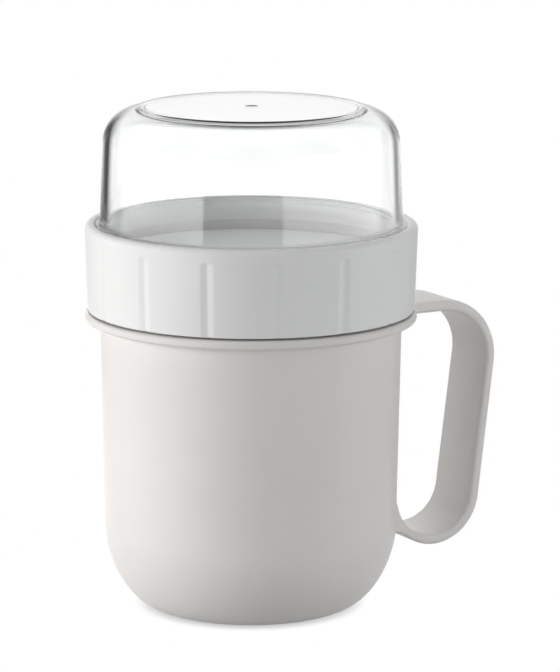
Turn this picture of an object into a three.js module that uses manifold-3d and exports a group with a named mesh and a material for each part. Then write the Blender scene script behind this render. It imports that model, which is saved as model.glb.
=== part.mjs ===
import * as THREE from "three";
import { mergeVertices } from "three/addons/utils/BufferGeometryUtils.js";
import Module from "manifold-3d";

const wasm = await Module();
wasm.setup();

// A two-compartment to-go cup: a handled cup below, a clear bowl upside down on top,
// and between them a two-sided screw collar whose partition is the lid of both.
// Lengths are in millimetres and angles in degrees. The cup stands on z = 0 with its
// axis on Z, and its handle points along +X.

// Cup
const wallTopRadius = 47.1; // outside of the wall under the ledge, and of the neck above it
const wallDraft = 1.2; // how much narrower the wall is where the base corner starts
const bodyHeight = 91.2; // base to underside of the ledge
const wallThickness = 2.2;
const floorThickness = 3;
const cornerWidth = 17.1; // rounded base corner, measured across
const cornerHeight = 25.1; // and measured up
const cornerFlatPull = 0.59; // how long the corner hugs the base, as a share of its width
const cornerWallPull = 0.375; // how long it hugs the wall, as a share of its height
const ledgeThickness = 2.8;
const ledgeOverhang = 0.7; // ledge beyond the skirt of the collar
const ledgeRound = 1;
const ledgeFillet = 0.8;
const neckHeight = 13;
const rimChamfer = 0.5;

// Handle: a flat strap in one piece with the cup
const handleWidth = 22;
const handleThickness = 3.2;
const handleReach = 36.8; // outermost point of the grip beyond the top of the wall
const armDrop = 1.4; // top of the upper arm below the top of the ledge
const upperBend = 19.3; // outer radius of the bend at the top of the grip
const lowerBend = 16.5; // outer radius of the bend at its foot
const gripLean = 7;
const handleLow = 12.9; // lowest point of the strap above the base
const openingWrap = 60; // the opening's round foot goes on this far past its lowest point
const heelWrap = 30; // and the underside of the strap this far
const heelRun = 3; // straight run of the underside before it levels out
const heelRound = 12; // radius with which the underside levels out at the wall
const armFillet = 4;
const strapEdge = 1.2; // rounding along the strap's edges

// Screw collar
const collarGap = 0.6; // open line between ledge and collar
const skirtWall = 2.4;
const collarDraft = 0.9; // how much wider the collar is at its lip
const partitionThickness = 2;
const socketDepth = 10.6; // partition to lip
const lipWidth = 3.1;
const lipRound = 1.6;
const lipInnerRound = 0.4;
const skirtLeadIn = 0.6;
const skirtEdge = 0.4;
const grooveCount = 15;
const grooveWidth = 3.8;
const grooveDepth = 0.5;
const grooveDrop = 3.7; // lip to the round end of a groove
const grooveTurn = 10; // direction of the first groove

// Clear bowl, worn as a dome
const bowlWall = 2;
const domeHeight = 35.4; // lip of the collar to the crown of the shoulder
const domeDraft = 1.1;
const shoulderRadius = 10;
const plateauRise = 1; // raised disc that becomes the bowl's foot
const plateauSlope = 1.7;
const gateRadius = 1.85; // mould gate mark in the middle of the disc
const gateDepth = 0.4;
const flangeThickness = 1.6;
const flangeDrop = 0.2; // flange below the lip of the collar
const flangeFillet = 0.6;

// Seals
const cupSealThickness = 1.4;
const bowlSealThickness = 2.4;
const sealEdge = 0.4;

// Screw threads, all right-handed, with one clearance for crest and root
const threadStarts = 3;
const neckLead = 13.2;
const neckThreadDepth = 1.2;
const neckRidgeRoot = 2;
const neckRidgeCrest = 1.2;
const mouthLead = 10.2;
const mouthThreadDepth = 1;
const mouthRidgeRoot = 1.3;
const mouthRidgeCrest = 0.8;
const ridgeFade = 18; // a ridge rises out of its wall over this angle
const ridgeSunk = 0.25; // how far its ends lie below the wall's face
const ridgeEmbed = 0.6; // how deep its root is rooted in the wall
const threadClearance = 0.4;
const threadMargin = 1.2; // wall left bare beyond the end of a ridge

// Clearance between pieces that seat on each other
const seatGap = 0.3;

// Resolution and cutting allowance
const roundSegments = 48;
const ridgeStep = 7.5;
const cutOverrun = 2;
const weldTolerance = 1e-4;

// Radii and heights that follow from the dimensions above
const wallFootRadius = wallTopRadius - wallDraft;
const baseRadius = wallFootRadius - cornerWidth;
const neckRadius = wallTopRadius;
const neckBore = neckRadius - wallThickness;
const neckCrest = neckRadius + neckThreadDepth;
const skirtBore = neckCrest + threadClearance;
const skirtRadius = skirtBore + skirtWall;
const lipRadius = skirtRadius + collarDraft;
const lipBore = lipRadius - lipWidth;
const flangeRadius = lipBore - seatGap;
const mouthCrest = flangeRadius - seatGap;
const bowlRadius = mouthCrest - mouthThreadDepth;
const socketBore = mouthCrest + threadClearance;
const bowlBore = bowlRadius - bowlWall;
const ledgeRadius = skirtRadius + ledgeOverhang;

const ledgeTop = bodyHeight + ledgeThickness;
const neckTop = ledgeTop + neckHeight;
const skirtBottom = ledgeTop + collarGap;
const cupSealBottom = neckTop + seatGap;
const cupSealTop = cupSealBottom + cupSealThickness;
const partitionBottom = cupSealTop + seatGap;
const partitionTop = partitionBottom + partitionThickness;
const lipTop = partitionTop + socketDepth;
const bowlSealBottom = partitionTop + seatGap;
const bowlSealTop = bowlSealBottom + bowlSealThickness;
const mouthBottom = bowlSealTop + seatGap;
const flangeTop = lipTop - flangeDrop;
const flangeBottom = flangeTop - flangeThickness;
const socketStep = flangeBottom - seatGap;
const crownHeight = lipTop + domeHeight;
const plateauTop = crownHeight + plateauRise;

const rad = THREE.MathUtils.degToRad;
const point = (radius, height) => new THREE.Vector2(radius, height);

function arc(radius, height, size, from, to, steps) {
  return new THREE.EllipseCurve(radius, height, size, size, rad(from), rad(to), to < from).getPoints(steps);
}

// Turns a profile about Z. It runs anticlockwise, with the radius to the right and the height up.
function revolve(profile) {
  return new THREE.LatheGeometry(profile, roundSegments).rotateX(Math.PI / 2);
}

function toSolid(geometry) {
  const bare = new THREE.BufferGeometry();
  bare.setAttribute("position", geometry.getAttribute("position"));
  bare.setIndex(geometry.getIndex());
  const welded = mergeVertices(bare, weldTolerance);
  const index = welded.getIndex().array;
  const triVerts = [];
  for (let i = 0; i < index.length; i += 3) {
    const [a, b, c] = [index[i], index[i + 1], index[i + 2]];
    if (a !== b && b !== c && c !== a) {
      triVerts.push(a, b, c);
    }
  }
  const vertProperties = Float32Array.from(welded.getAttribute("position").array);
  return new wasm.Manifold(
    new wasm.Mesh({ numProp: 3, vertProperties, triVerts: Uint32Array.from(triVerts) }),
  );
}

function toGeometry(solid) {
  const mesh = solid.getMesh();
  const geometry = new THREE.BufferGeometry();
  geometry.setAttribute("position", new THREE.BufferAttribute(mesh.vertProperties, 3));
  geometry.setIndex(new THREE.BufferAttribute(mesh.triVerts, 1));
  return geometry;
}

// One ridge of a screw thread: a trapezoid carried along a helix, its ends sinking into the wall.
// side is 1 for a ridge outside its wall and -1 for one inside a bore.
function threadRidge({ wall, depth, side, root, crest, lead, turn, from, to }) {
  const sweep = (360 * (to - from)) / lead;
  const steps = Math.ceil(sweep / ridgeStep);
  const positions = [];
  for (let i = 0; i <= steps; i += 1) {
    const turned = (sweep * i) / steps;
    const angle = rad(turn + turned);
    const height = from + (lead * turned) / 360;
    const rise = Math.min(1, turned / ridgeFade, (sweep - turned) / ridgeFade);
    const foot = wall - side * ridgeEmbed;
    const top = wall + side * THREE.MathUtils.lerp(-ridgeSunk, depth, rise);
    const section = [
      [foot, -root / 2],
      [top, -crest / 2],
      [top, crest / 2],
      [foot, root / 2],
    ];
    for (const [radius, lift] of section) {
      positions.push(radius * Math.cos(angle), radius * Math.sin(angle), height + lift);
    }
  }
  const triangles = [];
  const quad = (a, b, c, d) => triangles.push([a, b, c], [a, c, d]);
  const last = steps * 4;
  quad(0, 1, 2, 3);
  quad(last + 3, last + 2, last + 1, last);
  for (let i = 0; i < last; i += 4) {
    for (let j = 0; j < 4; j += 1) {
      const next = (j + 1) % 4;
      quad(i + j, i + j + 4, i + next + 4, i + next);
    }
  }
  const facing = side > 0 ? triangles : triangles.map((corners) => corners.reverse());
  const geometry = new THREE.BufferGeometry();
  geometry.setAttribute("position", new THREE.Float32BufferAttribute(positions, 3));
  geometry.setIndex(facing.flat());
  return geometry;
}

// All the starts of a thread. The ridges pass through the height phase in the direction of +X.
function threadRidges({ phase, ...ridge }) {
  const turn = (360 * (ridge.from - phase)) / ridge.lead;
  return Array.from({ length: threadStarts }, (_, start) =>
    toSolid(threadRidge({ ...ridge, turn: turn + (360 * start) / threadStarts })),
  );
}

const addAll = (solid, others) => others.reduce((sum, other) => sum.add(other), solid);
const cutAll = (solid, others) => others.reduce((rest, other) => rest.subtract(other), solid);

// The collar's ridges lie midway between those that they hold, on the same helix.
const neckPhase = ledgeTop + threadMargin + neckRidgeRoot;
const skirtPhase = neckPhase - neckLead / threadStarts / 2;
const mouthPhase = mouthBottom + mouthRidgeRoot;
const socketPhase = mouthPhase + mouthLead / threadStarts / 2;
const neckRidge = { depth: neckThreadDepth, root: neckRidgeRoot, crest: neckRidgeCrest, lead: neckLead };
const mouthRidge = { depth: mouthThreadDepth, root: mouthRidgeRoot, crest: mouthRidgeCrest, lead: mouthLead };

function baseCorner(flatRadius, floor, footRadius) {
  const flatPull = cornerFlatPull * (footRadius - flatRadius);
  const wallPull = cornerWallPull * (cornerHeight - floor);
  return new THREE.CubicBezierCurve(
    point(flatRadius, floor),
    point(flatRadius + flatPull, floor),
    point(footRadius, cornerHeight - wallPull),
    point(footRadius, cornerHeight),
  ).getPoints(8);
}

function handleShape() {
  const inside = baseRadius; // rooted well inside the wall, before the cup is hollowed
  const armTop = ledgeTop - armDrop;
  const armBottom = armTop - handleThickness;
  const upper = point(wallTopRadius + handleReach - upperBend, armTop - upperBend);
  const lowerHeight = handleLow + lowerBend;
  const lean = rad(gripLean);
  const bendShift = upperBend - lowerBend + (lowerHeight - upper.y) * Math.sin(lean);
  const lower = point(upper.x + bendShift / Math.cos(lean), lowerHeight);

  // The underside leaves the lower bend, runs up towards the wall and levels out there.
  const heel = rad(heelWrap);
  const heelStart = point(lower.x - lowerBend * Math.sin(heel), lower.y - lowerBend * Math.cos(heel));
  const heelEnd = point(heelStart.x - heelRun * Math.cos(heel), heelStart.y + heelRun * Math.sin(heel));
  const level = point(heelEnd.x - heelRound * Math.sin(heel), heelEnd.y - heelRound * Math.cos(heel));

  // The round foot of the opening goes on past its lowest point and runs straight into the wall.
  const wrap = rad(openingWrap);
  const openingBend = lowerBend - handleThickness;
  const openingEnd = point(lower.x - openingBend * Math.sin(wrap), lower.y - openingBend * Math.cos(wrap));
  const openingTop = openingEnd.y + (openingEnd.x - inside) * Math.tan(wrap);

  const wallAtEdge = Math.sqrt(wallTopRadius ** 2 - (handleWidth / 2) ** 2);
  const shape = new THREE.Shape();
  shape.moveTo(inside, armTop);
  shape.lineTo(upper.x, armTop);
  shape.absarc(upper.x, upper.y, upperBend, Math.PI / 2, -lean, true);
  shape.absarc(lower.x, lower.y, lowerBend, -lean, -Math.PI / 2 - heel, true);
  shape.absarc(level.x, level.y, heelRound, Math.PI / 2 - heel, Math.PI / 2, false);
  shape.lineTo(inside, level.y + heelRound);
  shape.lineTo(inside, openingTop);
  shape.absarc(lower.x, lower.y, openingBend, -Math.PI / 2 - wrap, -lean, false);
  shape.absarc(upper.x, upper.y, upperBend - handleThickness, -lean, Math.PI / 2, false);
  shape.absarc(wallAtEdge + armFillet, armBottom - armFillet, armFillet, Math.PI / 2, Math.PI, false);
  shape.lineTo(inside, armBottom - armFillet);
  shape.closePath();
  return shape;
}

function handle() {
  const depth = handleWidth - 2 * strapEdge;
  const strap = new THREE.ExtrudeGeometry(handleShape(), {
    depth,
    curveSegments: 5,
    bevelThickness: strapEdge,
    bevelSize: strapEdge,
    bevelOffset: -strapEdge,
    bevelSegments: 2,
  });
  return strap.translate(0, 0, -depth / 2).rotateX(Math.PI / 2);
}

function cup() {
  const round = Math.min(ledgeRound, 0.4 * ledgeThickness);
  const outside = revolve([
    point(0, 0),
    ...baseCorner(baseRadius, 0, wallFootRadius),
    ...arc(wallTopRadius + ledgeFillet, bodyHeight - ledgeFillet, ledgeFillet, 180, 90, 2),
    ...arc(ledgeRadius - round, bodyHeight + round, round, -90, 0, 2),
    ...arc(ledgeRadius - round, ledgeTop - round, round, 0, 90, 2),
    point(neckRadius, ledgeTop),
    point(neckRadius, neckTop - rimChamfer),
    point(neckRadius - rimChamfer, neckTop),
    point(0, neckTop),
  ]);
  const inside = revolve([
    point(0, floorThickness),
    ...baseCorner(baseRadius - wallThickness / 2, floorThickness, wallFootRadius - wallThickness),
    point(neckBore, bodyHeight),
    point(neckBore, neckTop + cutOverrun),
    point(0, neckTop + cutOverrun),
  ]);
  const ridges = threadRidges({
    ...neckRidge,
    wall: neckRadius,
    side: 1,
    phase: neckPhase,
    from: neckPhase,
    to: neckTop - threadMargin - neckRidgeRoot,
  });
  return addAll(toSolid(outside), [toSolid(handle()), ...ridges]).subtract(toSolid(inside));
}

// A capsule that leans with the collar's wall and runs out below the skirt.
function grooveCutter(turn) {
  const radius = (grooveWidth ** 2 / 4 + grooveDepth ** 2) / (2 * grooveDepth);
  const top = lipTop - grooveDrop - grooveWidth / 2;
  const bottom = skirtBottom - cutOverrun;
  const slope = collarDraft / (lipTop - skirtBottom);
  const middle = (top + bottom) / 2;
  const surface = skirtRadius + slope * (middle - skirtBottom);
  return new THREE.CapsuleGeometry(radius, top - bottom, 3, 16)
    .rotateX(Math.PI / 2)
    .rotateY(Math.atan(slope))
    .translate(surface - grooveDepth + radius, 0, middle)
    .rotateZ(rad(turn));
}

function screwCollar() {
  const round = Math.min(lipRound, 0.5 * lipWidth);
  const blank = revolve([
    point(0, partitionBottom),
    point(skirtBore, partitionBottom),
    point(skirtBore, skirtBottom + skirtLeadIn),
    point(skirtBore + skirtLeadIn, skirtBottom),
    point(skirtRadius - skirtEdge, skirtBottom),
    point(skirtRadius, skirtBottom + skirtEdge),
    ...arc(lipRadius - round, lipTop - round, round, 0, 90, 4),
    ...arc(lipBore + lipInnerRound, lipTop - lipInnerRound, lipInnerRound, 90, 180, 2),
    point(lipBore, socketStep),
    point(socketBore, socketStep),
    point(socketBore, partitionTop),
    point(0, partitionTop),
  ]);
  const skirtRidges = threadRidges({
    ...neckRidge,
    wall: skirtBore,
    side: -1,
    phase: skirtPhase,
    from: skirtBottom + threadMargin + neckRidgeRoot / 2,
    to: skirtBottom + threadMargin + neckRidgeRoot / 2 + neckLead / threadStarts,
  });
  const socketRidges = threadRidges({
    ...mouthRidge,
    wall: socketBore,
    side: -1,
    phase: socketPhase,
    from: socketStep - mouthRidgeRoot - mouthLead / threadStarts / 2,
    to: socketStep - mouthRidgeRoot / 2,
  });
  const grooves = Array.from({ length: grooveCount }, (_, i) =>
    toSolid(grooveCutter(grooveTurn + (360 * i) / grooveCount)),
  );
  return cutAll(addAll(toSolid(blank), [...skirtRidges, ...socketRidges]), grooves);
}

function clearBowl() {
  const shoulder = point(bowlRadius - domeDraft - shoulderRadius, crownHeight - shoulderRadius);
  const innerShoulder = shoulderRadius - bowlWall;
  const plateauRadius = shoulder.x - plateauSlope;
  const shell = revolve([
    point(0, plateauTop - bowlWall),
    point(plateauRadius - bowlWall, plateauTop - bowlWall),
    point(shoulder.x - bowlWall, crownHeight - bowlWall),
    ...arc(shoulder.x, shoulder.y, innerShoulder, 90, 0, 6),
    point(bowlBore, flangeTop),
    point(bowlBore, mouthBottom),
    point(bowlRadius, mouthBottom),
    point(bowlRadius, flangeBottom),
    point(flangeRadius, flangeBottom),
    point(flangeRadius, flangeTop),
    point(bowlRadius + flangeFillet, flangeTop),
    point(bowlRadius, flangeTop + flangeFillet),
    ...arc(shoulder.x, shoulder.y, shoulderRadius, 0, 90, 7),
    point(plateauRadius, plateauTop),
    point(gateRadius, plateauTop),
    point(gateRadius - gateDepth, plateauTop - gateDepth),
    point(0, plateauTop - gateDepth),
  ]);
  const ridges = threadRidges({
    ...mouthRidge,
    wall: bowlRadius,
    side: 1,
    phase: mouthPhase,
    from: mouthPhase,
    to: flangeBottom - mouthRidgeRoot,
  });
  return addAll(toSolid(shell), ridges);
}

// A square ring with its edges taken off.
function sealRing(inner, outer, bottom, top) {
  const edge = Math.min(sealEdge, 0.3 * (outer - inner), 0.3 * (top - bottom));
  return toSolid(
    revolve([
      point(inner + edge, bottom),
      point(outer - edge, bottom),
      point(outer, bottom + edge),
      point(outer, top - edge),
      point(outer - edge, top),
      point(inner + edge, top),
      point(inner, top - edge),
      point(inner, bottom + edge),
      point(inner + edge, bottom),
    ]),
  );
}

const satinWarm = new THREE.MeshStandardMaterial({ color: 0xe2dfdb, roughness: 0.42, metalness: 0 });
const satinCool = new THREE.MeshStandardMaterial({ color: 0xdbe0e0, roughness: 0.38, metalness: 0 });
const clear = new THREE.MeshStandardMaterial({
  color: 0xf6f9f9,
  roughness: 0.05,
  metalness: 0,
  transparent: true,
  opacity: 0.25,
});
const silicone = new THREE.MeshStandardMaterial({ color: 0xe6e8e6, roughness: 0.6, metalness: 0 });

const toGoCup = new THREE.Group();

function addPiece(name, solid, material) {
  const mesh = new THREE.Mesh(toGeometry(solid), material);
  mesh.name = name;
  toGoCup.add(mesh);
}

addPiece("cup", cup(), satinWarm);
addPiece("screw_collar", screwCollar(), satinCool);
addPiece("clear_bowl", clearBowl(), clear);
addPiece("cup_seal", sealRing(neckBore, skirtBore - seatGap, cupSealBottom, cupSealTop), silicone);
addPiece("bowl_seal", sealRing(bowlBore, bowlRadius, bowlSealBottom, bowlSealTop), silicone);

export default toGoCup;
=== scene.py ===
from math import acos, cos, hypot, pi, radians, sin, sqrt, tan

import bmesh
import bpy
import numpy as np
from mathutils import Matrix, Vector


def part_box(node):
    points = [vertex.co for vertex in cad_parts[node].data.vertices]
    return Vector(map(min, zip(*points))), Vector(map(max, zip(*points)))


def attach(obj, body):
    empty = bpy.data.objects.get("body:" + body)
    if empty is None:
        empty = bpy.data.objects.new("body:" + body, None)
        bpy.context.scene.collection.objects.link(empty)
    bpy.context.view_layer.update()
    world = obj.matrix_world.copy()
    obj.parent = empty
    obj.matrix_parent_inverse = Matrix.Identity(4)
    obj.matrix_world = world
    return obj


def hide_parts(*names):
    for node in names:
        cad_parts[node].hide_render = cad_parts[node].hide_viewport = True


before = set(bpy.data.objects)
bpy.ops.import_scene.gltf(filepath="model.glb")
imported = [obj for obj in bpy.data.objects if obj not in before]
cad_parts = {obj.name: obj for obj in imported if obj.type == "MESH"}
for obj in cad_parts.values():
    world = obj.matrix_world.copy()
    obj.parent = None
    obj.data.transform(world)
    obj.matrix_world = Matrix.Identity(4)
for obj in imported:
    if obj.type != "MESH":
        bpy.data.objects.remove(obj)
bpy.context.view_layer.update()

mm = 0.001
weld = 0.0001 * mm  # points closer than this are one
inDegrees = 180 / pi

# where the pieces lie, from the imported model
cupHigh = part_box("cup")[1]
collarLow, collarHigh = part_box("screw_collar")
bowlLow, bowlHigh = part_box("clear_bowl")
cupSealLow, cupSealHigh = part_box("cup_seal")
bowlSealLow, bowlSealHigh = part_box("bowl_seal")
seatGap = 0.3 * mm  # room that the solids keep at each seat


# Node trees: a socket that takes part in plain arithmetic, and one way to add any other node

class Plug:
    def __init__(self, tree, socket):
        self.tree = tree
        self.socket = socket

    @classmethod
    def node(cls, tree, kind, settings=None, inputs=None, output=None):
        made = tree.nodes.new(kind)
        for name, value in (settings or {}).items():
            setattr(made, name, value)
        for name, value in (inputs or {}).items():
            if isinstance(name, int):
                target = made.inputs[name]
            else:
                target = next(s for s in made.inputs if s.name == name and s.enabled)
            if isinstance(value, Plug):
                tree.links.new(value.socket, target)
            else:
                target.default_value = value
        shown = [s for s in made.outputs if s.enabled]
        chosen = next((s for s in shown if s.name == output), shown[0] if shown else None)
        return cls(tree, chosen)

    def out(self, name):
        return Plug(self.tree, self.socket.node.outputs[name])

    def math(self, operation, *others):
        inputs = dict(enumerate((self,) + others))
        return Plug.node(self.tree, "ShaderNodeMath", {"operation": operation}, inputs)

    # with the other value first, as in 1 - mask
    def mathAfter(self, operation, other):
        return Plug.node(self.tree, "ShaderNodeMath", {"operation": operation}, {0: other, 1: self})

    def __add__(self, other):
        return self.math("ADD", other)

    def __radd__(self, other):
        return self.math("ADD", other)

    def __sub__(self, other):
        return self.math("SUBTRACT", other)

    def __rsub__(self, other):
        return self.mathAfter("SUBTRACT", other)

    def __mul__(self, other):
        return self.math("MULTIPLY", other)

    def __rmul__(self, other):
        return self.math("MULTIPLY", other)

    def __truediv__(self, other):
        return self.math("DIVIDE", other)

    def __rtruediv__(self, other):
        return self.mathAfter("DIVIDE", other)

    def __pow__(self, other):
        return self.math("POWER", other)

    def __rpow__(self, other):
        return self.mathAfter("POWER", other)

    def __neg__(self):
        return self.math("MULTIPLY", -1)

    def __abs__(self):
        return self.math("ABSOLUTE")

    def __lt__(self, other):
        return self.math("LESS_THAN", other)

    def __gt__(self, other):
        return self.math("GREATER_THAN", other)

    def least(self, other):
        return self.math("MINIMUM", other)

    def most(self, other):
        return self.math("MAXIMUM", other)

    # eases from 0 to 1 while the value goes from low to high
    def ease(self, low, high):
        return Plug.node(self.tree, "ShaderNodeMapRange", {"interpolation_type": "SMOOTHSTEP"}, {
            "Value": self, "From Min": low, "From Max": high, "To Min": 0, "To Max": 1})


# Profiles and turned bodies

def arcPoints(centre, radius, start, end, steps):
    turns = [radians(start + (end - start) * i / steps) for i in range(steps + 1)]
    return [(centre[0] + radius * cos(a), centre[1] + radius * sin(a)) for a in turns]


def bezierPoints(a, b, c, d, steps):
    points = []
    for i in range(steps + 1):
        t = i / steps
        weights = ((1 - t) ** 3, 3 * t * (1 - t) ** 2, 3 * t * t * (1 - t), t ** 3)
        points.append(tuple(sum(w * p[k] for w, p in zip(weights, (a, b, c, d))) for k in (0, 1)))
    return points


def linePoints(a, b, steps):
    return [tuple(a[k] + (b[k] - a[k]) * i / steps for k in (0, 1)) for i in range(steps + 1)]


# corners are (radius, height, rounding); each round gets a loop beside it that keeps the flats flat
def roundedProfile(corners, steps=8, besideRound=0.25 * mm, closed=False):
    points = []
    for i, (r, z, rounding) in enumerate(corners):
        ends = not closed and i in (0, len(corners) - 1)
        if rounding == 0 or ends:
            points.append((r, z))
            continue
        here = Vector((r, z))
        back = Vector(corners[i - 1][:2]) - here
        ahead = Vector(corners[(i + 1) % len(corners)][:2]) - here
        half = acos(max(-1, min(1, back.normalized().dot(ahead.normalized())))) / 2
        cut = rounding / tan(half)
        first = here + back.normalized() * cut
        last = here + ahead.normalized() * cut
        middle = here + (back.normalized() + ahead.normalized()).normalized() * rounding / sin(half)
        points.append(tuple(first + back.normalized() * besideRound))
        for k in range(steps + 1):
            spoke = (first - middle).slerp(last - middle, k / steps).normalized()
            points.append(tuple(middle + spoke * rounding))
        points.append(tuple(last + ahead.normalized() * besideRound))
    return points


def newObject(name, mesh):
    made = bpy.data.objects.new(name, mesh)
    bpy.context.scene.collection.objects.link(made)
    return made


# the profile runs anticlockwise with the radius to the right, from axis to axis or round a ring
def turnedBody(name, profile, segments=192, turns=None, ring=False):
    turns = turns or [2 * pi * i / segments for i in range(segments)]
    count = len(turns)
    vertices = []
    rows = []
    for r, z in profile:
        start = len(vertices)
        if r < weld:
            vertices.append((0, 0, z))
            rows.append([start] * count)
        else:
            vertices.extend((r * cos(a), r * sin(a), z) for a in turns)
            rows.append(list(range(start, start + count)))
    faces = []
    pairs = list(zip(rows, rows[1:]))
    if ring:
        pairs.append((rows[-1], rows[0]))
    for low, high in pairs:
        for i in range(count):
            k = (i + 1) % count
            corners = (low[i], low[k], high[k], high[i])
            faces.append(tuple(dict.fromkeys(corners)))
    mesh = bpy.data.meshes.new(name)
    mesh.from_pydata(vertices, [], [f for f in faces if len(f) > 2])
    mesh.validate()
    return newObject(name, mesh)


# the evaluated object as a plain mesh with no modifiers
def settle(piece):
    graph = bpy.context.evaluated_depsgraph_get()
    graph.update()
    mesh = bpy.data.meshes.new_from_object(piece.evaluated_get(graph))
    piece.modifiers.clear()
    old = piece.data
    piece.data = mesh
    bpy.data.meshes.remove(old)
    return piece


def combine(piece, tool, operation):
    cut = piece.modifiers.new("combine", "BOOLEAN")
    cut.operation = operation
    cut.solver = "MANIFOLD"
    cut.object = tool
    settle(piece)
    bpy.data.objects.remove(tool)
    return piece


def finishMesh(piece, material, crease=32):
    mesh = piece.data
    shape = bmesh.new()
    shape.from_mesh(mesh)
    bmesh.ops.remove_doubles(shape, verts=shape.verts, dist=weld)
    bmesh.ops.dissolve_degenerate(shape, edges=shape.edges, dist=weld)
    bmesh.ops.recalc_face_normals(shape, faces=shape.faces)
    shape.to_mesh(mesh)
    shape.free()
    mesh.materials.clear()
    mesh.materials.append(material)
    mesh.shade_smooth()
    mesh.set_sharp_from_angle(angle=radians(crease))
    return piece


def dress(piece, body, node):
    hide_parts(node)
    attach(piece, body)


# Geometry Nodes trees

def newTree(name, inputs, takesMesh):
    tree = bpy.data.node_groups.new(name, "GeometryNodeTree")
    kinds = {"Count": "NodeSocketInt", "Material": "NodeSocketMaterial"}
    if takesMesh:
        tree.interface.new_socket("Geometry", in_out="INPUT", socket_type="NodeSocketGeometry")
    for label in inputs:
        kind = kinds.get(label, "NodeSocketFloat")
        tree.interface.new_socket(label, in_out="INPUT", socket_type=kind)
    tree.interface.new_socket("Geometry", in_out="OUTPUT", socket_type="NodeSocketGeometry")
    given = Plug.node(tree, "NodeGroupInput")
    return tree, given


def endTree(given, geometry):
    tree = given.tree
    real = Plug.node(tree, "GeometryNodeRealizeInstances", None, {"Geometry": geometry})
    skinned = Plug.node(tree, "GeometryNodeSetMaterial", None, {
        "Geometry": real, "Material": given.out("Material")})
    Plug.node(tree, "NodeGroupOutput", None, {"Geometry": skinned})


def runTree(piece, tree, values):
    modifier = piece.modifiers.new(tree.name, "NODES")
    modifier.node_group = tree
    for item in tree.interface.items_tree:
        if item.in_out == "INPUT" and item.name in values:
            modifier[item.identifier] = values[item.name]
    return settle(piece)


def splitPosition(tree):
    position = Plug.node(tree, "GeometryNodeInputPosition")
    return Plug.node(tree, "ShaderNodeSeparateXYZ", None, {"Vector": position})


def joinPosition(tree, x, y, z):
    return Plug.node(tree, "ShaderNodeCombineXYZ", None, {"X": x, "Y": y, "Z": z})


# Screw thread: a sheet of points is wrapped once round a rounded ridge and carried up a helix.
# opening says how early in its rise a ridge has its full width
threadSheet = {"across": 9, "along": 97, "opening": 5, "weld": 0.001 * mm}


def makeThreadTree():
    labels = ("Wall", "Side", "Depth", "Root", "Crest", "Lead", "Phase", "From", "To", "Fade", "Embed",
              "Count", "Material")
    tree, given = newTree("screwThread", labels, False)
    sizes = [given.out(label) for label in labels[:-2]]
    wall, side, depth, root, crest, lead, phase, low, high, fade, embed = sizes
    across = threadSheet["across"]
    sheet = Plug.node(tree, "GeometryNodeMeshGrid", None, {
        "Size X": 1, "Size Y": 1, "Vertices X": across + 1, "Vertices Y": threadSheet["along"]})
    place = splitPosition(tree)
    column = (place.out("X") + 0.5) * across
    along = place.out("Y") + 0.5
    spread = (column < across - 0.5) * column * (2 / (across - 1)) - 1  # the last column is the first again

    sweep = (high - low) / lead * (2 * pi)
    turned = sweep * along
    rise = (turned / fade).least((sweep - turned) / fade).ease(0, 1)
    lift = spread * root * 0.5 * (rise * threadSheet["opening"]).least(1)
    crown = 1 - abs(spread * root * 0.5).ease(crest * 0.5, root * 0.5)
    radius = wall + side * (crown * rise * (depth + embed) - embed)
    angle = turned + (low - phase) / lead * (2 * pi)
    helix = joinPosition(tree, radius * angle.math("COSINE"), radius * angle.math("SINE"),
                         low + lead * turned / (2 * pi) + lift)
    bent = Plug.node(tree, "GeometryNodeSetPosition", None, {"Geometry": sheet, "Position": helix})
    closed = Plug.node(tree, "GeometryNodeMergeByDistance", None, {
        "Geometry": bent, "Distance": threadSheet["weld"]})

    starts = Plug.node(tree, "GeometryNodePoints", None, {"Count": given.out("Count")})
    index = Plug.node(tree, "GeometryNodeInputIndex")
    spin = joinPosition(tree, 0, 0, index * (2 * pi) / given.out("Count"))
    ridges = Plug.node(tree, "GeometryNodeInstanceOnPoints", None, {
        "Points": starts, "Instance": closed, "Rotation": spin})
    endTree(given, ridges)
    return tree


# Grip grooves: the skin of a turned collar sinks along evenly spaced lines with round top ends.
# The softness of a groove's bottom and edges is a share of its depth
grooveSoft = {"bottom": 0.02, "edge": 0.16}


def makeGrooveTree():
    labels = ("Width", "Depth", "First", "Top", "Blunt", "Skin", "Under", "Count", "Material")
    tree, given = newTree("gripGrooves", labels, True)
    width, depth, first, top, blunt, skin, under = (given.out(label) for label in labels[:-2])
    place = splitPosition(tree)
    x, y, z = (place.out(n) for n in "XYZ")
    radius = (x * x + y * y) ** 0.5
    pitch = 2 * pi / given.out("Count")
    sector = (y.math("ARCTAN2", x) - first) / pitch
    aside = (sector - (sector + 0.5).math("FLOOR")) * pitch * radius
    above = (z - top).most(0) * blunt
    reach = (aside * aside + above * above) ** 0.5 / (width * 0.5)
    valley = 1 - (reach * reach + grooveSoft["bottom"]) ** 0.5
    soft = valley.math("SMOOTH_MAX", 0, grooveSoft["edge"]) * depth
    sink = soft * radius.ease(under, skin)
    inward = sink / radius * -1
    offset = joinPosition(tree, x * inward, y * inward, 0)
    sunk = Plug.node(tree, "GeometryNodeSetPosition", None, {
        "Geometry": given.out("Geometry"), "Offset": offset})
    endTree(given, sunk)
    return tree


# Materials

def newMaterial(name):
    material = bpy.data.materials.new(name)
    material.use_nodes = True
    material.node_tree.nodes.clear()
    return material, material.node_tree


# the looks give a noise as its scale, detail, roughness and distortion
def noise(tree, scale, detail, roughness=0.5, distortion=0):
    where = Plug.node(tree, "ShaderNodeTexCoord", output="Object")
    return Plug.node(tree, "ShaderNodeTexNoise", None, {
        "Vector": where, "Scale": scale, "Detail": detail, "Roughness": roughness,
        "Distortion": distortion}, "Fac")


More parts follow.
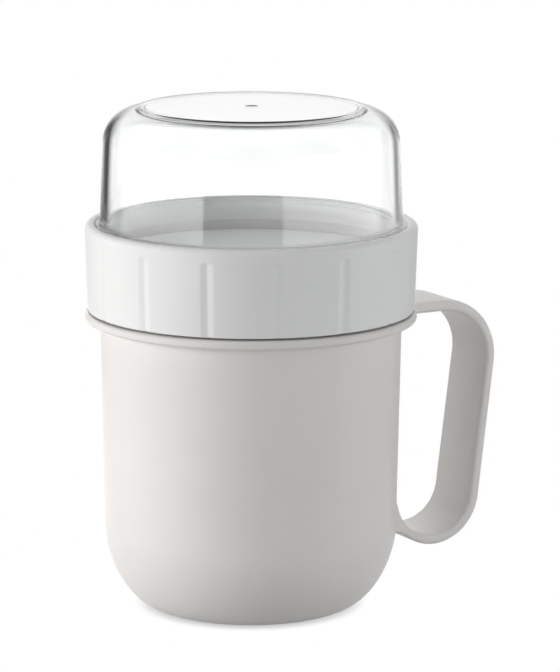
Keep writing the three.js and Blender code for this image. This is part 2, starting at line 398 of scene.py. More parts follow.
def blendColour(tree, amount, first, second):
    return Plug.node(tree, "ShaderNodeMix", {"data_type": "RGBA"}, {
        "Factor": amount, "A": first + (1,), "B": second + (1,)}, "Result")


def bumped(tree, height, strength, distance):
    return Plug.node(tree, "ShaderNodeBump", None, {
        "Height": height, "Strength": strength, "Distance": distance}, "Normal")


def closeMaterial(tree, settings):
    shader = Plug.node(tree, "ShaderNodeBsdfPrincipled", None, settings)
    Plug.node(tree, "ShaderNodeOutputMaterial", None, {"Surface": shader})


# satin moulded plastic: a fine spark-eroded grain, slow flow marks and faint patches of polish
def mouldedPlastic(name, look):
    material, tree = newMaterial(name)
    flow = noise(tree, *look["flow"])
    grain = noise(tree, *look["grain"])
    patches = noise(tree, *look["patches"])
    colour = blendColour(tree, flow.ease(*look["flowRange"]), look["shade"], look["tint"])
    roughness = look["roughness"] + (patches - 0.5) * look["patchRange"] + (grain - 0.5) * look["grainRange"]
    height = grain + (flow - 0.5) * look["flowHeight"]
    closeMaterial(tree, {
        "Base Color": colour, "Roughness": roughness, "IOR": look["ior"],
        "Normal": bumped(tree, height, look["bump"], look["grainDepth"])})
    return material


cupLook = {
    "shade": (0.786, 0.768, 0.750), "tint": (0.806, 0.790, 0.774), "flowRange": (0.3, 0.7),
    "flow": (26, 3, 0.55, 0.4), "grain": (3600, 2, 0.6), "patches": (70, 2), "flowHeight": 0.3,
    "roughness": 0.42, "patchRange": 0.10, "grainRange": 0.08, "ior": 1.49,
    "bump": 0.35, "grainDepth": 0.02 * mm,
}
collarLook = {
    "shade": (0.830, 0.845, 0.841), "tint": (0.851, 0.865, 0.861), "flowRange": (0.3, 0.7),
    "flow": (34, 3, 0.55, 0.4), "grain": (4200, 2, 0.6), "patches": (90, 2), "flowHeight": 0.3,
    "roughness": 0.36, "patchRange": 0.10, "grainRange": 0.07, "ior": 1.49,
    "bump": 0.30, "grainDepth": 0.02 * mm,
}


# polished clear plastic: barely wavy from the mould, with the faintest scuffs, a frosted thread, and a
# slight dullness on the ring where the bowl stands and on its gate mark
clearLook = {
    "tint": (0.985, 0.992, 0.99), "ior": 1.53, "roughness": 0.012,
    "scuffs": (55, 6, 0.7, 0.6), "scuffShare": (0.55, 0.8), "scuffRange": 0.03,
    "waves": (60, 1), "waveDepth": 0.05 * mm, "waveBump": 0.02,
    "frost": 0.4, "frostBelow": collarHigh.z + 0.2 * mm, "frostFade": 2.4 * mm, "cloud": 0.82,
    "crownAbove": bowlHigh.z - 4.0 * mm, "ring": 36.2 * mm, "ringReach": 3.0 * mm, "ringFade": 1.0 * mm,
    "ringFrost": 0.04, "gate": 2.1 * mm, "gateFrost": 0.15,
}


def clearPlastic(name, look):
    material, tree = newMaterial(name)
    scuffs = noise(tree, *look["scuffs"]).ease(*look["scuffShare"])
    waves = noise(tree, *look["waves"])
    where = Plug.node(tree, "ShaderNodeTexCoord", output="Object")
    place = Plug.node(tree, "ShaderNodeSeparateXYZ", None, {"Vector": where})
    x, y, height = (place.out(n) for n in "XYZ")
    radius = (x * x + y * y) ** 0.5
    thread = 1 - height.ease(look["frostBelow"] - look["frostFade"], look["frostBelow"])
    crown = height > look["crownAbove"]
    aside = abs(radius - look["ring"])
    ring = (1 - aside.ease(look["ringReach"] - look["ringFade"], look["ringReach"])) * crown
    gate = (radius < look["gate"]) * crown
    polish = look["roughness"] + scuffs * look["scuffRange"]
    polish = polish + ring * look["ringFrost"] + gate * look["gateFrost"]
    normal = bumped(tree, waves, look["waveBump"], look["waveDepth"])
    clear = Plug.node(tree, "ShaderNodeBsdfPrincipled", None, {
        "Base Color": look["tint"] + (1,), "Transmission Weight": 1, "IOR": look["ior"],
        "Roughness": polish, "Normal": normal})
    frosted = Plug.node(tree, "ShaderNodeBsdfPrincipled", None, {
        "Base Color": look["tint"] + (1,), "Transmission Weight": look["cloud"], "IOR": look["ior"],
        "Roughness": look["frost"], "Normal": normal})
    mixed = Plug.node(tree, "ShaderNodeMixShader", None, {0: thread, 1: clear, 2: frosted})
    Plug.node(tree, "ShaderNodeOutputMaterial", None, {"Surface": mixed})
    return material


# translucent silicone: dull, slightly cloudy
siliconeLook = {
    "shade": (0.78, 0.79, 0.78), "tint": (0.84, 0.85, 0.84), "roughness": 0.55, "roughRange": 0.12,
    "clouds": (240, 3), "grain": (5200, 2), "bump": 0.3, "grainDepth": 0.02 * mm,
    "through": 0.25, "ior": 1.41,
}


def silicone(name, look):
    material, tree = newMaterial(name)
    clouds = noise(tree, *look["clouds"])
    grain = noise(tree, *look["grain"])
    closeMaterial(tree, {
        "Base Color": blendColour(tree, clouds, look["shade"], look["tint"]),
        "Roughness": look["roughness"] + (clouds - 0.5) * look["roughRange"],
        "Transmission Weight": look["through"], "IOR": look["ior"],
        "Normal": bumped(tree, grain, look["bump"], look["grainDepth"])})
    return material


cupPlastic = mouldedPlastic("cupPlastic", cupLook)
collarPlastic = mouldedPlastic("collarPlastic", collarLook)
clearShell = clearPlastic("clearShell", clearLook)
sealSilicone = silicone("sealSilicone", siliconeLook)
threadTree = makeThreadTree()
grooveTree = makeGrooveTree()
print("materials and trees ready")


def threadRidges(name, thread, material):
    blank = newObject(name, bpy.data.meshes.new(name))
    ridges = runTree(blank, threadTree, {**thread, "Material": material})
    return finishMesh(ridges, material)


# neck and skirt share one thread, mouth and socket the other
threadStarts = 3
neckThread = {"Depth": 1.2 * mm, "Root": 2.0 * mm, "Crest": 0.9 * mm, "Lead": 13.2 * mm,
              "Fade": radians(18), "Embed": 0.6 * mm, "Count": threadStarts}
mouthThread = {"Depth": 1.0 * mm, "Root": 1.3 * mm, "Crest": 0.5 * mm, "Lead": 10.2 * mm,
               "Fade": radians(18), "Embed": 0.5 * mm, "Count": threadStarts}
threadMargin = 1.2 * mm  # bare wall beyond the end of a ridge


# Cup: a drafted wall on a soft base corner, a ledge, a threaded neck and a strap handle in one moulding
cupSizes = {
    "wallTop": 47.1 * mm, "wallFoot": 45.9 * mm, "wall": 2.2 * mm, "floor": 3.0 * mm,
    "cornerWidth": 17.1 * mm, "cornerHeight": 25.1 * mm, "flatPull": 0.59, "wallPull": 0.375,
    "neckHeight": 13.0 * mm, "ledge": 2.8 * mm, "ledgeRound": 1.0 * mm, "ledgeFillet": 1.4 * mm,
    "rimRound": 0.7 * mm, "neckFillet": 0.4 * mm, "gateRadius": 2.0 * mm, "gateDepth": 0.35 * mm,
    "capInset": 4.0 * mm, "cutOver": 2.0 * mm,  # for the closed top, which the inside cuts away
}
ledgeRadius = cupHigh.y
neckTop = cupHigh.z
ledgeTop = neckTop - cupSizes["neckHeight"]
ledgeUnder = ledgeTop - cupSizes["ledge"]
neckBore = cupSizes["wallTop"] - cupSizes["wall"]


def baseCorner(flatRadius, floor, footRadius, steps):
    top = cupSizes["cornerHeight"]
    flatPull = cupSizes["flatPull"] * (footRadius - flatRadius)
    wallPull = cupSizes["wallPull"] * (top - floor)
    return bezierPoints((flatRadius, floor), (flatRadius + flatPull, floor),
                        (footRadius, top - wallPull), (footRadius, top), steps)


def cupOutside():
    s = cupSizes
    base = s["wallFoot"] - s["cornerWidth"]
    corner = baseCorner(base, 0, s["wallFoot"], steps=30)
    gate = [(0, s["gateDepth"]), (s["gateRadius"] - s["gateDepth"], s["gateDepth"]), (s["gateRadius"], 0)]
    wall = linePoints(corner[-1], (s["wallTop"], ledgeUnder - s["ledgeFillet"]), steps=16)
    upper = roundedProfile([
        wall[-2] + (0,),
        (s["wallTop"], ledgeUnder, s["ledgeFillet"]),
        (ledgeRadius, ledgeUnder, s["ledgeRound"]),
        (ledgeRadius, ledgeTop, s["ledgeRound"]),
        (s["wallTop"], ledgeTop, s["neckFillet"]),
        (s["wallTop"], neckTop, s["rimRound"]),
        (neckBore - s["capInset"], neckTop, 0),
        (0, neckTop, 0),
    ])
    return gate + corner + wall[1:-2] + upper


def cupInside():
    s = cupSizes
    foot = s["wallFoot"] - s["wall"]
    flat = s["wallFoot"] - s["cornerWidth"] - s["wall"] / 2
    corner = baseCorner(flat, s["floor"], foot, steps=26)
    wall = linePoints(corner[-1], (neckBore, ledgeUnder), steps=12)
    flare = s["rimRound"]
    mouth = arcPoints((neckBore + flare, neckTop - flare), flare, 180, 90, steps=6)
    over = neckTop + s["cutOver"]
    return [(0, s["floor"])] + corner + wall[1:] + mouth + [(neckBore + flare, over), (0, over)]


def wallRadius(z):
    s = cupSizes
    if z >= s["cornerHeight"]:
        share = min(1, (z - s["cornerHeight"]) / (ledgeUnder - s["cornerHeight"]))
        return s["wallFoot"] + share * (s["wallTop"] - s["wallFoot"])
    corner = baseCorner(s["wallFoot"] - s["cornerWidth"], 0, s["wallFoot"], steps=60)
    return float(np.interp(z, [p[1] for p in corner], [p[0] for p in corner]))


# the same line with evenly spaced points
def spaced(points, count):
    line = np.array(points)
    run = np.concatenate([[0], np.cumsum(np.hypot(*np.diff(line, axis=0).T))])
    at = np.linspace(0, run[-1], count)
    return list(zip(np.interp(at, run, line[:, 0]), np.interp(at, run, line[:, 1])))


# the strap's outer and inner lines lie in the plane y = 0 as (x, z) and are walked in step
strapSizes = {
    "width": 22.0 * mm, "thickness": 3.2 * mm, "armThickness": 3.5 * mm, "armDrop": 1.4 * mm,
    "upperBend": 19.3 * mm, "lowerBend": 16.5 * mm, "lean": 7, "low": 12.9 * mm, "footThickness": 3.45 * mm,
    "heelWrap": 33, "heelRun": 1.8 * mm, "heelRound": 12.0 * mm, "armFillet": 4.0 * mm, "edge": 1.2 * mm,
    "rootFillet": 2.6 * mm, "rootSink": 0.15 * mm, "rootRadius": 38.0 * mm, "hugReach": 8.0 * mm,
    "openingReach": 14.5 * mm, "openingWrap": 78, "openingRise": 10.3 * mm, "openingPull": 3.5 * mm,
    "openingSink": 1.45 * mm, "armRows": 76, "heelRows": 120, "sideRows": 4,
}


def strapLines():
    s = strapSizes
    root = s["rootRadius"]
    armTop = ledgeTop - s["armDrop"]
    armUnder = armTop - s["armThickness"]
    upper = (cupHigh.x - s["upperBend"], armTop - s["upperBend"])
    lowerHeight = s["low"] + s["lowerBend"]
    lean = radians(s["lean"])
    shift = s["upperBend"] - s["lowerBend"] + (lowerHeight - upper[1]) * sin(lean)
    lower = (upper[0] + shift / cos(lean), lowerHeight)
    atWall = sqrt(cupSizes["wallTop"] ** 2 - (s["width"] / 2) ** 2) - s["rootSink"]

    armOut = linePoints((root, armTop), (upper[0], armTop), steps=60)
    filletCentre = (atWall + s["armFillet"], armUnder - s["armFillet"])
    fillet = arcPoints(filletCentre, s["armFillet"], 180, 90, steps=14)
    armIn = linePoints((root, fillet[0][1]), fillet[0], steps=10) + fillet
    armIn += linePoints(fillet[-1], (upper[0], armUnder), steps=20)
    bends = []
    for armInset, inset, footInset in ((0, 0, 0), (s["armThickness"], s["thickness"], s["footThickness"])):
        turn = arcPoints((0, 0), 1, 90, -s["lean"], steps=28)
        wide, tall = s["upperBend"] - inset, s["upperBend"] - armInset
        top = [(upper[0] + wide * x, upper[1] + tall * z) for x, z in turn]
        foot = arcPoints(lower, s["lowerBend"] - footInset, -s["lean"], -90, steps=24)
        bends.append(top + linePoints(top[-1], foot[0], steps=14)[1:-1] + foot)

    heelAt = -90 - s["heelWrap"]
    heelArc = arcPoints(lower, s["lowerBend"], -90, heelAt, steps=10)
    heel = radians(s["heelWrap"])
    runEnd = (heelArc[-1][0] - s["heelRun"] * cos(heel), heelArc[-1][1] + s["heelRun"] * sin(heel))
    level = (runEnd[0] - s["heelRound"] * sin(heel), runEnd[1] - s["heelRound"] * cos(heel))
    levelArc = arcPoints(level, s["heelRound"], 90 - s["heelWrap"], 90, steps=10)
    heelOut = heelArc + levelArc + [(root, levelArc[-1][1])]

    drop = s["lowerBend"] - s["footThickness"]
    turn = arcPoints((0, 0), 1, -90, -90 - s["openingWrap"], steps=20)
    wrapArc = [(lower[0] + s["openingReach"] * x, lower[1] + drop * z) for x, z in turn]
    x, z = wrapArc[-1]
    wrap = radians(s["openingWrap"])
    end = (cupSizes["wallFoot"] - s["openingSink"], z + s["openingRise"])
    blend = bezierPoints((x, z), (x - s["openingPull"] * cos(wrap), z + s["openingPull"] * sin(wrap)),
                         (end[0] + s["openingSink"], end[1] - s["openingPull"]), end, steps=14)
    heelIn = wrapArc + blend[1:] + [(root, end[1] + s["openingSink"])]
    outer = spaced(armOut, s["armRows"]) + bends[0][1:-1] + spaced(heelOut, s["heelRows"])
    inner = spaced(armIn, s["armRows"]) + bends[1][1:-1] + spaced(heelIn, s["heelRows"])
    return outer, inner


# a section across the strap: a rectangle with round edges, as (across the width, through the thickness)
def strapSection(halfWide, halfThick, edge, beside=0.2 * mm):
    flat = halfThick - edge - beside
    rows = strapSizes["sideRows"]
    between = [flat * i / rows for i in range(1 - rows, rows)]
    section = [(halfWide, halfThick, edge), (-halfWide, halfThick, edge)]
    section += [(-halfWide, out, 0) for out in reversed(between)]
    section += [(-halfWide, -halfThick, edge), (halfWide, -halfThick, edge)]
    section += [(halfWide, out, 0) for out in between]
    return roundedProfile(section, steps=5, besideRound=beside, closed=True)


# how far a fillet stands off a face at this distance from the wall
def filletSpread(distance, size):
    near = min(size, max(0, distance))
    return size - sqrt(size * size - (size - near) ** 2)


# near the wall the strap follows the wall's curve, so that its inner face runs out evenly
def makeStrap():
    s = strapSizes
    half = s["width"] / 2
    outer, inner = strapLines()
    vertices = []
    ringSize = 0
    for (ox, oz), (ix, iz) in zip(outer, inner):
        middle = Vector(((ox + ix) / 2, (oz + iz) / 2))
        across = Vector((ox - ix, oz - iz))
        halfThick = across.length / 2
        across.normalize()
        ring = strapSection(half, halfThick, s["edge"])
        ringSize = len(ring)
        for y, out in ring:
            x, z = middle + across * out
            wall = wallRadius(z)
            atEdge = sqrt(wall * wall - half * half)
            away = min(1, max(0, (x - atEdge) / s["hugReach"]))
            hug = 1 - away * away * (3 - 2 * away)
            gap = hypot(x + hug * (sqrt(wall * wall - y * y) - atEdge), y) - wall
            flare = filletSpread(gap, s["rootFillet"]) * min(1, max(-1, y / (half - s["edge"])))
            wide = y + flare
            x += hug * (sqrt(wall * wall - wide * wide) - atEdge)
            vertices.append((x, -wide, z))
    faces = []
    for row in range(len(outer) - 1):
        for i in range(ringSize):
            k = (i + 1) % ringSize
            a, b = row * ringSize, (row + 1) * ringSize
            faces.append((a + i, a + k, b + k, b + i))
    faces.append(tuple(range(ringSize)))
    last = (len(outer) - 1) * ringSize
    faces.append(tuple(last + i for i in reversed(range(ringSize))))
    mesh = bpy.data.meshes.new("strap")
    mesh.from_pydata(vertices, [], faces)
    return finishMesh(newObject("strap", mesh), cupPlastic)


def makeCup():
    piece = turnedBody("cup_moulding", cupOutside())
    combine(piece, makeStrap(), "UNION")
    low = ledgeTop + threadMargin + neckThread["Root"]
    thread = {**neckThread, "Wall": cupSizes["wallTop"], "Side": 1, "Phase": low, "From": low,
              "To": neckTop - threadMargin - neckThread["Root"]}
    combine(piece, threadRidges("neckRidges", thread, cupPlastic), "UNION")
    combine(piece, turnedBody("cupInside", cupInside()), "DIFFERENCE")
    finishMesh(piece, cupPlastic)
    dress(piece, "cup", "cup")
    return piece


cupPiece = makeCup()
print("cup", len(cupPiece.data.polygons), "faces")


# Screw collar: skirt with soft grip grooves, partition, socket for the bowl and a rounded lip
collarSizes = {
    "skirtBore": 48.7 * mm, "skirtRadius": 51.1 * mm, "lipBore": 48.9 * mm, "lipRound": 1.6 * mm,
    "lipInnerRound": 0.5 * mm, "skirtEdge": 0.45 * mm, "leadIn": 0.6 * mm, "boreFillet": 0.8 * mm,
    "partition": 2.0 * mm, "socketBore": 48.7 * mm, "socketFillet": 0.8 * mm,
    "stepDrop": 2.1 * mm, "stepRound": 0.09 * mm,
}
lipRadius = collarHigh.y
lipTop = collarHigh.z
skirtBottom = collarLow.z
socketStep = lipTop - collarSizes["stepDrop"]
partitionTop = bowlSealLow.z - seatGap
gripGrooves = {"Count": 15, "Width": 4.1 * mm, "Depth": 0.4 * mm, "First": radians(10),
               "Top": lipTop - 5.0 * mm, "Blunt": 1.6}
grooveMesh = {"reach": 0.62, "fine": 12, "coarse": 8, "endRows": 16, "rowsBelow": 4, "wallRows": 6}


# fine columns at each groove and coarse ones between
def grooveTurns():
    g = grooveMesh
    count = gripGrooves["Count"]
    pitch = 2 * pi / count
    reach = g["reach"] * gripGrooves["Width"] / lipRadius
    fine = [reach * i / g["fine"] for i in range(-g["fine"], g["fine"] + 1)]
    coarse = [reach + (pitch - 2 * reach) * i / g["coarse"] for i in range(1, g["coarse"])]
    return [gripGrooves["First"] + pitch * n + a for n in range(count) for a in fine + coarse]


# the outside of the skirt gets rows of points, close together at the ends of the grooves
def collarProfile():
    s = collarSizes
    g = grooveMesh
    partitionUnder = partitionTop - s["partition"]
    profile = roundedProfile([
        (0, partitionUnder, 0),
        (s["skirtBore"], partitionUnder, s["boreFillet"]),
        (s["skirtBore"], skirtBottom, s["leadIn"]),
        (s["skirtRadius"], skirtBottom, s["skirtEdge"]),
        (lipRadius, lipTop, s["lipRound"]),
        (s["lipBore"], lipTop, s["lipInnerRound"]),
        (s["lipBore"], socketStep, s["stepRound"]),
        (s["socketBore"], socketStep, 0),
        (s["socketBore"], partitionTop, s["socketFillet"]),
        (0, partitionTop, 0),
    ], besideRound=0.08 * mm)
    rises = [above[1] - here[1] for here, above in zip(profile, profile[1:])]
    low = rises.index(max(rises))
    start, end = profile[low], profile[low + 1]
    reach = gripGrooves["Width"] * g["reach"]
    ends = [gripGrooves["Top"] + reach * i / g["endRows"] for i in range(-g["rowsBelow"], g["endRows"] + 1)]
    heights = [start[1] + (ends[0] - start[1]) * i / g["wallRows"] for i in range(1, g["wallRows"])] + ends
    slope = (end[0] - start[0]) / (end[1] - start[1])
    rows = [(start[0] + slope * (z - start[1]), z) for z in heights if z < end[1]]
    return profile[:low + 1] + rows + profile[low + 1:]


def makeCollar():
    s = collarSizes
    piece = turnedBody("collar_moulding", collarProfile(), turns=grooveTurns())
    runTree(piece, grooveTree, {**gripGrooves, "Skin": s["skirtRadius"] - s["skirtEdge"],
                                "Under": s["skirtBore"] + s["leadIn"], "Material": collarPlastic})
    neckPhase = ledgeTop + threadMargin + neckThread["Root"]
    pitch = neckThread["Lead"] / threadStarts
    low = skirtBottom + threadMargin + neckThread["Root"] / 2
    skirt = {**neckThread, "Wall": s["skirtBore"], "Side": -1, "Phase": neckPhase - pitch / 2,
             "From": low, "To": low + pitch}
    combine(piece, threadRidges("skirtRidges", skirt, collarPlastic), "UNION")
    mouthPhase = bowlLow.z + mouthThread["Root"]
    pitch = mouthThread["Lead"] / threadStarts
    socket = {**mouthThread, "Wall": s["socketBore"], "Side": -1, "Phase": mouthPhase + pitch / 2,
              "From": socketStep - mouthThread["Root"] - pitch / 2,
              "To": socketStep - mouthThread["Root"] / 2}
    combine(piece, threadRidges("socketRidges", socket, collarPlastic), "UNION")
    finishMesh(piece, collarPlastic)
    dress(piece, "collar", "screw_collar")
    return piece


collarPiece = makeCollar()
print("collar", len(collarPiece.data.polygons), "faces")


# Clear bowl, worn as a dome: threaded mouth, flange, drafted wall, round shoulder and a raised disc
bowlSizes = {
    "radius": 47.3 * mm, "wall": 2.0 * mm, "draft": 1.1 * mm, "shoulder": 10.0 * mm, "rise": 1.0 * mm,
    "slope": 1.7 * mm, "discRound": 0.55 * mm, "flange": 1.6 * mm, "flangeDrop": 0.2 * mm,
    "flangeFillet": 0.6 * mm, "flangeRound": 0.35 * mm, "mouthRound": 0.6 * mm, "boreRound": 0.12 * mm,
    "flangeUnder": 0.2 * mm, "gateRadius": 2.1 * mm, "gateSlope": 1.3 * mm, "gateDepth": 0.16 * mm,
    "gateRound": 0.3 * mm, "footFillet": 0.7 * mm, "footInset": 0.3 * mm, "discWall": 1.6 * mm,
    "crownWall": 1.3 * mm, "underFoot": 1.2 * mm,
}
bowlBore = bowlSizes["radius"] - bowlSizes["wall"]
flangeTop = lipTop - bowlSizes["flangeDrop"]
flangeLow = flangeTop - bowlSizes["flange"]


def bowlProfile():
    s = bowlSizes
    plateau = bowlHigh.z
    crown = plateau - s["rise"]
    sideTop = s["radius"] - s["draft"]
    shoulder = (sideTop - s["shoulder"], crown - s["shoulder"])
    disc = shoulder[0] - s["slope"]
    quarter = arcPoints((0, 0), 1, 90, 0, steps=18)
    wide, tall = s["shoulder"] - s["wall"], s["shoulder"] - s["crownWall"]
    inside = [(shoulder[0] + wide * x, shoulder[1] + tall * z) for x, z in quarter]
    outside = arcPoints(shoulder, s["shoulder"], 0, 90, steps=20)
    under = roundedProfile([
        (0, plateau - s["discWall"], 0),
        (disc - s["discWall"], plateau - s["discWall"], s["discRound"]),
        (shoulder[0] - s["underFoot"], crown - s["crownWall"], s["footFillet"]),
        inside[0] + (0,),
    ])
    mouth = roundedProfile([
        inside[-1] + (0,),
        (bowlBore, flangeTop, 0),
        (bowlBore, bowlLow.z, s["boreRound"]),
        (s["radius"], bowlLow.z, s["mouthRound"]),
        (s["radius"], flangeLow, s["flangeUnder"]),
        (bowlHigh.y, flangeLow, s["flangeRound"]),
        (bowlHigh.y, flangeTop, s["flangeRound"]),
        (s["radius"], flangeTop, s["flangeFillet"]),
        outside[0] + (0,),
    ], steps=6, besideRound=0.08 * mm)
    top = roundedProfile([
        outside[-1] + (0,),
        (shoulder[0] - s["footInset"], crown, s["footFillet"]),
        (disc, plateau, s["discRound"]),
        (s["gateRadius"], plateau, s["gateRound"]),
        (s["gateRadius"] - s["gateSlope"], plateau - s["gateDepth"], s["gateRound"]),
        (0, plateau - s["gateDepth"], 0),
    ], steps=6, besideRound=0.05 * mm)
    return under[:-1] + inside + mouth[1:-1] + outside + top[1:]


def makeBowl():
    piece = turnedBody("bowl_shell", bowlProfile(), segments=240)
    low = bowlLow.z + mouthThread["Root"]
    thread = {**mouthThread, "Wall": bowlSizes["radius"], "Side": 1, "Phase": low, "From": low,
              "To": flangeLow - mouthThread["Root"]}
    combine(piece, threadRidges("mouthRidges", thread, clearShell), "UNION")
    finishMesh(piece, clearShell)
    piece.visible_shadow = False  # lamps reach the partition through the clear shell
    dress(piece, "bowl", "clear_bowl")
    return piece


bowlPiece = makeBowl()
print("bowl", len(bowlPiece.data.polygons), "faces")


# Silicone seals: rings with round edges, swollen until they meet their seats
sealSizes = {"edge": 0.1 * mm, "swell": 0.27 * mm}


def makeSeal(name, low, high, inner, body, node):
    edge = sealSizes["edge"]
    outer = high.y
    bottom, top = low.z - sealSizes["swell"], high.z + sealSizes["swell"]
    section = [(inner, bottom, edge), (outer, bottom, edge), (outer, top, edge), (inner, top, edge)]
    profile = roundedProfile(section, steps=6, besideRound=0.08 * mm, closed=True)
    piece = turnedBody(name, profile, ring=True)
    finishMesh(piece, sealSilicone)
    dress(piece, body, node)
    return piece


makeSeal("neck_gasket", cupSealLow, cupSealHigh, neckBore, "cup_seal_ring", "cup_seal")
makeSeal("mouth_gasket", bowlSealLow, bowlSealHigh, bowlBore, "bowl_seal_ring", "bowl_seal")
print("seals ready")


# Studio: camera at the photograph's angle, softboxes, a white surround and a pale floor
cameraView = {"azimuth": -119.05, "distance": 1186.2 * mm, "height": 324.1 * mm, "pitch": 11.378,
              "yaw": 0.437, "roll": 0.19, "lens": 207.0, "sensor": 36, "farthest": 20}


def makeCamera():
    v = cameraView
    camera = bpy.data.objects.new("photoCamera", bpy.data.cameras.new("photoCamera"))
    bpy.context.scene.collection.objects.link(camera)
    camera.data.lens = v["lens"]
    camera.data.sensor_width = v["sensor"]
    around = radians(v["azimuth"])
    heading = Matrix.Rotation(around + pi / 2 - radians(v["yaw"]), 4, "Z")
    tilt = Matrix.Rotation(pi / 2 - radians(v["pitch"]), 4, "X")
    roll = Matrix.Rotation(radians(v["roll"]), 4, "Z")
    place = Vector((v["distance"] * cos(around), v["distance"] * sin(around), v["height"]))
    camera.matrix_world = Matrix.Translation(place) @ heading @ tilt @ roll
    camera.data.clip_end = v["farthest"]
    bpy.context.scene.camera = camera


# turn is measured from the camera's side of the cup, to the right of the picture
softboxes = {
    "keyLeft": {"turn": -80, "lift": 8, "radiance": 6.8, "warmth": 0.02},
    "rimLeft": {"turn": -100, "lift": 8, "radiance": 1.85},
    "fillLeft": {"turn": -60, "lift": 8, "radiance": 4.0, "warmth": 0.015},
    "front": {"turn": 20, "lift": 8, "radiance": 3.3},
    "sideRight": {"turn": 80, "lift": 8, "radiance": 3.05},
    "highRight": {"turn": 60, "lift": 40, "radiance": 1.1},
    "backLeft": {"turn": -160, "lift": 8, "radiance": 5.5},
    "highBackLeft": {"turn": -160, "lift": 40, "radiance": 1.2},
    "highBackRight": {"turn": 160, "lift": 40, "radiance": 2.0},
    "overhead": {"turn": 180, "lift": 88, "radiance": 1.3},
    "overBack": {"turn": 180, "lift": 66, "radiance": 1.9},
}
softboxSizes = {"width": 0.30, "height": 0.55, "distance": 0.95, "aim": Vector((0, 0, 0.08)), "watts": 4}


# watts is the power that an area lamp needs for each square metre and unit of radiance
def makeSoftbox(name, box):
    s = softboxSizes
    lamp = bpy.data.lights.new(name, "AREA")
    lamp.shape = "RECTANGLE"
    lamp.size = s["width"]
    lamp.size_y = s["height"]
    lamp.energy = s["watts"] * box["radiance"] * s["width"] * s["height"]
    warmth = box.get("warmth", 0)
    lamp.color = (1 + warmth, 1, 1 - warmth / 2)
    light = bpy.data.objects.new(name, lamp)
    bpy.context.scene.collection.objects.link(light)
    around = radians(cameraView["azimuth"] + box["turn"])
    lift = radians(box["lift"])
    toward = Vector((cos(around) * cos(lift), sin(around) * cos(lift), sin(lift)))
    light.location = s["aim"] + toward * s["distance"]
    light.rotation_euler = toward.to_track_quat("Z", "Y").to_euler()
    light.visible_camera = False
    light.visible_glossy = False  # the gloss shows the surround's panels instead
    light.visible_transmission = False


# the surround: white to the eye; what the clear shell and the gloss show is a studio. Behind the cup it
# has a dark flag at each side, a haze and a bar above them. Towards the camera it has two bright panels
# with a darker gap between them, and a veil across them at the heights that the dome's wall mirrors. Seen
# straight through the shell, and above and below the panels, that side is plain, with a gentle ripple.
# Angles are degrees to the left of straight behind the cup, and up
surround = {
    "white": 1.0, "through": 1.1, "ceiling": 0.9, "sides": 66, "sideSoft": 7,
    "leftFlag": (16, 7, 40, 5, 0.92), "rightFlag": (20, 9, 36, 5, 0.74), "flagLow": -30, "flagHigh": 11,
    "flagFade": 6, "hazeSide": 6, "hazeLow": 8, "hazeHigh": 32, "hazeFade": 4, "haze": 0.18,
    "barSide": 40, "barLow": 26, "barHigh": 52, "barFade": 5, "bar": 0.5,
    "fadeLow": 2, "fadeHigh": 9, "fade": 0.15,
    "gap": 0.3, "leftPanel": (143, 2.2), "rightPanel": (156, 2.1), "panelSoft": 1.2,
    "panelHigh": 55, "panelFade": 14,
    "veilGap": 0.95, "leftVeil": (143, 2.4), "rightVeil": (156, 1.3), "veilLow": -9, "veilHigh": 1,
    "veilSoft": 2,
    "plain": 0.84, "plainBelow": -13, "leftBelow": -9, "plainAbove": 6, "plainSoft": 0.9,
    "ripple": 0.35, "rippleStep": 30,
}


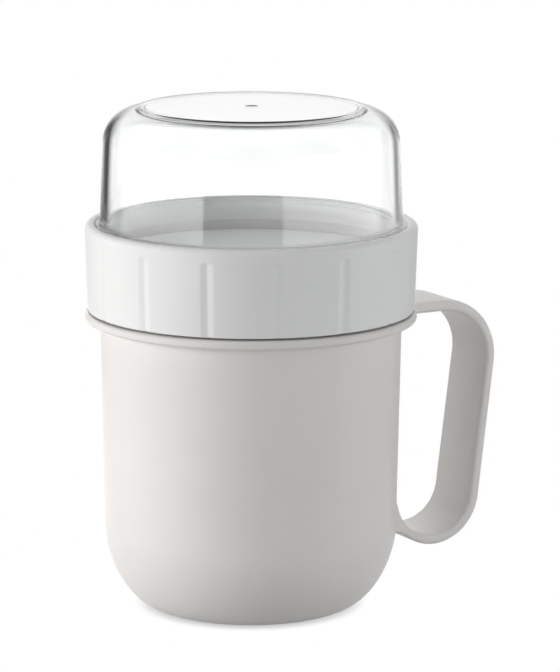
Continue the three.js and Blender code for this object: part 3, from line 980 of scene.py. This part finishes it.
def makeSurround():
    s = surround
    world = bpy.data.worlds.new("surround")
    bpy.context.scene.world = world
    world.use_nodes = True
    tree = world.node_tree
    tree.nodes.clear()
    direction = Plug.node(tree, "ShaderNodeTexCoord", output="Generated")
    around = Plug.node(tree, "ShaderNodeMapping", {"vector_type": "VECTOR"}, {
        "Vector": direction, "Rotation": (0, 0, -radians(cameraView["azimuth"] + 180))})
    parts = Plug.node(tree, "ShaderNodeSeparateXYZ", None, {"Vector": around})
    aside = parts.out("Y").math("ARCTAN2", parts.out("X")) * inDegrees
    height = parts.out("Z").math("ARCSINE") * inDegrees

    def near(value, limit, soft):
        return 1 - value.ease(limit - soft, limit + soft)

    def between(value, low, high, soft):
        return (1 - near(value, low, soft)) * near(value, high, soft)

    def flag(value, low, lowSoft, high, highSoft, dark):  # soft to a different extent at each edge
        return (1 - near(value, low, lowSoft)) * near(value, high, highSoft) * dark

    def panel(value, edge, radiance):
        return (1 - near(value, 0, s["sideSoft"])) * near(value, edge, s["panelSoft"]) * radiance

    flags = flag(aside, *s["leftFlag"]) + flag(-aside, *s["rightFlag"])
    level = between(height, s["flagLow"], s["flagHigh"], s["flagFade"])
    haze = between(height, s["hazeLow"], s["hazeHigh"], s["hazeFade"]) * s["haze"]
    bar = between(height, s["barLow"], s["barHigh"], s["barFade"])
    bar = bar * near(abs(aside), s["barSide"], s["barFade"])
    dim = (1 - flags * level) * (1 - haze * (1 - near(abs(aside), s["hazeSide"], s["hazeFade"])))
    dim = dim * (1 - bar * s["bar"]) * (1 - height.ease(s["fadeLow"], s["fadeHigh"]) * s["fade"])
    back = near(abs(aside), s["sides"], s["sideSoft"])
    front = s["gap"] + panel(aside, *s["leftPanel"]) + panel(-aside, *s["rightPanel"])
    veil = s["veilGap"] + panel(aside, *s["leftVeil"]) + panel(-aside, *s["rightVeil"])
    front = front + between(height, s["veilLow"], s["veilHigh"], s["veilSoft"]) * (veil - front)
    walls = dim * back * s["through"] + front * (1 - back)
    path = Plug.node(tree, "ShaderNodeLightPath")
    straight = path.out("Glossy Depth") < 0.5
    upper = 1 - near(height, s["plainAbove"], s["plainSoft"])
    lower = near(height, s["leftBelow"], s["plainSoft"]) * (1 - near(aside, 0, s["sideSoft"]))
    elsewhere = straight.most(upper).most(lower) * (1 - back)
    elsewhere = elsewhere.most(near(height, s["plainBelow"], s["plainSoft"]))
    ripple = (aside * (pi / s["rippleStep"])).math("COSINE") * 0.5 + 0.5
    plain = (1 - ripple * s["ripple"]) * s["plain"]
    walls = walls + elsewhere * (plain - walls)
    wallShare = near(height, s["panelHigh"], s["panelFade"])
    studio = walls * wallShare + (1 - wallShare) * s["ceiling"]
    eye = path.out("Is Camera Ray")
    polished = path.out("Is Glossy Ray").most(path.out("Is Transmission Ray"))
    seen = polished * (path.out("Diffuse Depth") < 0.5)
    strength = eye * s["white"] + (1 - eye) * seen * studio
    shader = Plug.node(tree, "ShaderNodeBackground", None, {"Color": (1, 1, 1, 1), "Strength": strength})
    Plug.node(tree, "ShaderNodeOutputWorld", None, {"Surface": shader})


# the floor is white to the eye, with the shade that gathers under the cup's round base
floorLook = {"radius": 0.34, "drop": 0.1 * mm, "white": (1.0, 1.0, 1.0), "shade": (0.53, 0.53, 0.54),
             "spread": 3.6 * mm, "samples": 16, "fall": 2.9, "bounce": (0.5, 0.5, 0.5)}


def makeFloor():
    f = floorLook
    material, tree = newMaterial("paleFloor")
    clear = Plug.node(tree, "ShaderNodeAmbientOcclusion", {"samples": f["samples"]}, {
        "Distance": f["spread"]}, "AO")
    path = Plug.node(tree, "ShaderNodeLightPath")
    seen = path.out("Is Camera Ray").most(path.out("Is Glossy Ray")).most(path.out("Is Transmission Ray"))
    covered = (1 - clear) ** f["fall"]
    matt = Plug.node(tree, "ShaderNodeBsdfDiffuse", None, {"Color": f["bounce"] + (1,)})
    lit = Plug.node(tree, "ShaderNodeEmission", None, {
        "Color": blendColour(tree, covered, f["white"], f["shade"])})
    mixed = Plug.node(tree, "ShaderNodeMixShader", None, {0: seen, 1: matt, 2: lit})
    Plug.node(tree, "ShaderNodeOutputMaterial", None, {"Surface": mixed})
    floor = turnedBody("floor", [(f["radius"], -f["drop"]), (0, -f["drop"])], segments=96)
    floor.data.materials.append(material)


makeCamera()
for softboxName, softbox in softboxes.items():
    makeSoftbox(softboxName, softbox)
makeSurround()
makeFloor()
bpy.context.scene.view_settings.view_transform = "Standard"
print("studio ready")
